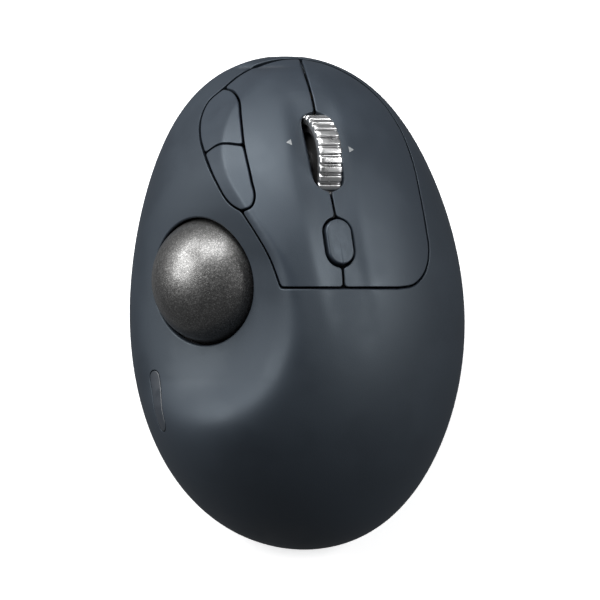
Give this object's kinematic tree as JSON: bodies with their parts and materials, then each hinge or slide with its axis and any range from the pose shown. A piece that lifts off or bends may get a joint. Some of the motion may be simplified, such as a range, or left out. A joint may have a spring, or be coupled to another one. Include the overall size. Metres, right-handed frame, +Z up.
{
  "type": "thumb trackball mouse",
  "caption": "Right-handed computer pointing device with a thumb-driven ball in a sculpted body, hinged click keys, thumb keys, a resolution key and a tilting ribbed scroll wheel.",
  "frame": {"origin": "on the desk under the middle of the plan", "axes": "+X to the user's right, +Y towards the front edge, away from the user, +Z up"},
  "size_m": [0.0892, 0.1311, 0.0506],
  "materials": {
    "graphite_shell": "fine satin grain, soft to the touch",
    "grey_key": "fine satin grain",
    "pearl_ball": "polished, with a fine metallic speckle",
    "chromed_ring": "polished ribs",
    "black_plastic": "moulded, satin",
    "bright_steel": "turned and plated",
    "white_ceramic": "polished",
    "switch_plunger": "moulded",
    "circuit_board": "green resist over glass laminate",
    "chip_resin": "moulded resin",
    "smoked_window": "smoked and polished",
    "clear_lens": "clear and polished",
    "slippery_pad": "low-friction pad",
    "battery_wrap": "foil pouch",
    "lead_sleeve": "insulated wire"
  },
  "bodies": {
    "case": {"top_shell": "graphite_shell", "bottom_case": "graphite_shell", "wheel_mount": "black_plastic", "ball_cup": "black_plastic", "thumb_key_bracket": "black_plastic", "key_hinge_bracket": "black_plastic", "key_hinge_rod": "bright_steel", "usb_port": "bright_steel", "case_screw_front_left": "bright_steel", "case_screw_front_right": "bright_steel", "case_screw_rear_left": "bright_steel", "case_screw_rear_right": "bright_steel", "support_bearing_1": "white_ceramic", "support_bearing_2": "white_ceramic", "support_bearing_3": "white_ceramic", "main_board": "circuit_board", "thumb_key_board": "circuit_board", "dpi_board": "circuit_board", "sensor_board": "circuit_board", "indicator_board": "circuit_board", "wheel_click_switch": "chip_resin", "tilt_switch_left": "chip_resin", "tilt_switch_right": "chip_resin", "left_switch": "chip_resin", "right_switch": "chip_resin", "forward_switch": "chip_resin", "back_switch": "chip_resin", "dpi_switch": "chip_resin", "optical_sensor": "chip_resin", "battery_connector": "chip_resin", "power_switch_body": "chip_resin", "pairing_switch": "chip_resin", "indicator_window": "smoked_window", "sensor_lens": "clear_lens", "indicator_light_guide": "clear_lens", "foot_front_left": "slippery_pad", "foot_front_right": "slippery_pad", "foot_rear_left": "slippery_pad", "foot_rear_right": "slippery_pad", "battery": "battery_wrap", "battery_lead": "lead_sleeve"},
    "left_key": {"left_button": "grey_key"},
    "right_key": {"right_button": "grey_key"},
    "left_switch_pin": {"left_plunger": "switch_plunger"},
    "right_switch_pin": {"right_plunger": "switch_plunger"},
    "forward_key": {"forward_button": "grey_key"},
    "back_key": {"back_button": "grey_key"},
    "dpi_key": {"dpi_button": "grey_key"},
    "tilt_frame": {"wheel_cradle": "black_plastic"},
    "press_frame": {"wheel_yoke": "black_plastic", "wheel_encoder": "chip_resin"},
    "wheel": {"scroll_wheel_ring": "chromed_ring", "scroll_wheel_core": "black_plastic", "wheel_axle": "bright_steel"},
    "ball": {"trackball": "pearl_ball"},
    "power_knob": {"power_switch_knob": "black_plastic"},
    "pairing_key": {"pairing_button": "black_plastic"}
  },
  "joints": [
    {"name": "left_click", "type": "hinge", "parent": "case", "child": "left_key", "pos_m": [0, 0.007, 0.033], "axis": [-1, 0, 0], "range_deg": [0, 0.7], "stiffness_Nm_per_rad": 2, "springref_deg": -0.57},
    {"name": "right_click", "type": "hinge", "parent": "case", "child": "right_key", "pos_m": [0.015, 0.007, 0.033], "axis": [-1, 0, 0], "range_deg": [0, 0.7], "stiffness_Nm_per_rad": 2, "springref_deg": -0.57},
    {"name": "left_switch_press", "type": "slide", "parent": "case", "child": "left_switch_pin", "axis": [0, 0, -1], "range_m": [0, 0.0005]},
    {"name": "right_switch_press", "type": "slide", "parent": "case", "child": "right_switch_pin", "axis": [0, 0, -1], "range_m": [0, 0.0005]},
    {"name": "forward_click", "type": "slide", "parent": "case", "child": "forward_key", "axis": [0.3264, -0.3384, -0.8826], "range_m": [0, 0.0005], "stiffness_N_per_m": 1500, "springref_m": -0.0003},
    {"name": "back_click", "type": "slide", "parent": "case", "child": "back_key", "axis": [0.3264, -0.3384, -0.8826], "range_m": [0, 0.0005], "stiffness_N_per_m": 1500, "springref_m": -0.0003},
    {"name": "dpi_click", "type": "slide", "parent": "case", "child": "dpi_key", "axis": [-0.4088, -0.2126, -0.8875], "range_m": [0, 0.0005], "stiffness_N_per_m": 1500, "springref_m": -0.0003},
    {"name": "wheel_tilt", "type": "hinge", "parent": "case", "child": "tilt_frame", "pos_m": [0.00458, 0.03648, 0.02979], "axis": [-0.1815, 0.8686, -0.4612], "range_deg": [-4, 4], "stiffness_Nm_per_rad": 0.25},
    {"name": "wheel_press", "type": "slide", "parent": "tilt_frame", "child": "press_frame", "axis": [-0.3097, -0.4956, -0.8115], "range_m": [0, 0.0005], "stiffness_N_per_m": 2500, "springref_m": -0.0003},
    {"name": "wheel_spin", "type": "hinge", "parent": "press_frame", "child": "wheel", "pos_m": [0.00458, 0.03648, 0.02979], "axis": [0.9333, 0.0044, -0.359], "continuous": true},
    {"name": "ball_roll", "type": "hinge", "parent": "case", "child": "ball", "pos_m": [-0.0214, 0.006, 0.0271], "axis": [-0.1219, 0.9925, 0], "continuous": true},
    {"name": "power_slide", "type": "slide", "parent": "case", "child": "power_knob", "axis": [1, 0, 0], "range_m": [0, 0.0028]},
    {"name": "pairing_click", "type": "slide", "parent": "case", "child": "pairing_key", "axis": [0, 0, 1], "range_m": [0, 0.0004], "stiffness_N_per_m": 600, "springref_m": -0.0002}
  ],
  "couplings": [
    {"joint": "left_switch_press", "follows": "left_click", "m_per_rad": 0.038},
    {"joint": "right_switch_press", "follows": "right_click", "m_per_rad": 0.035}
  ]
}
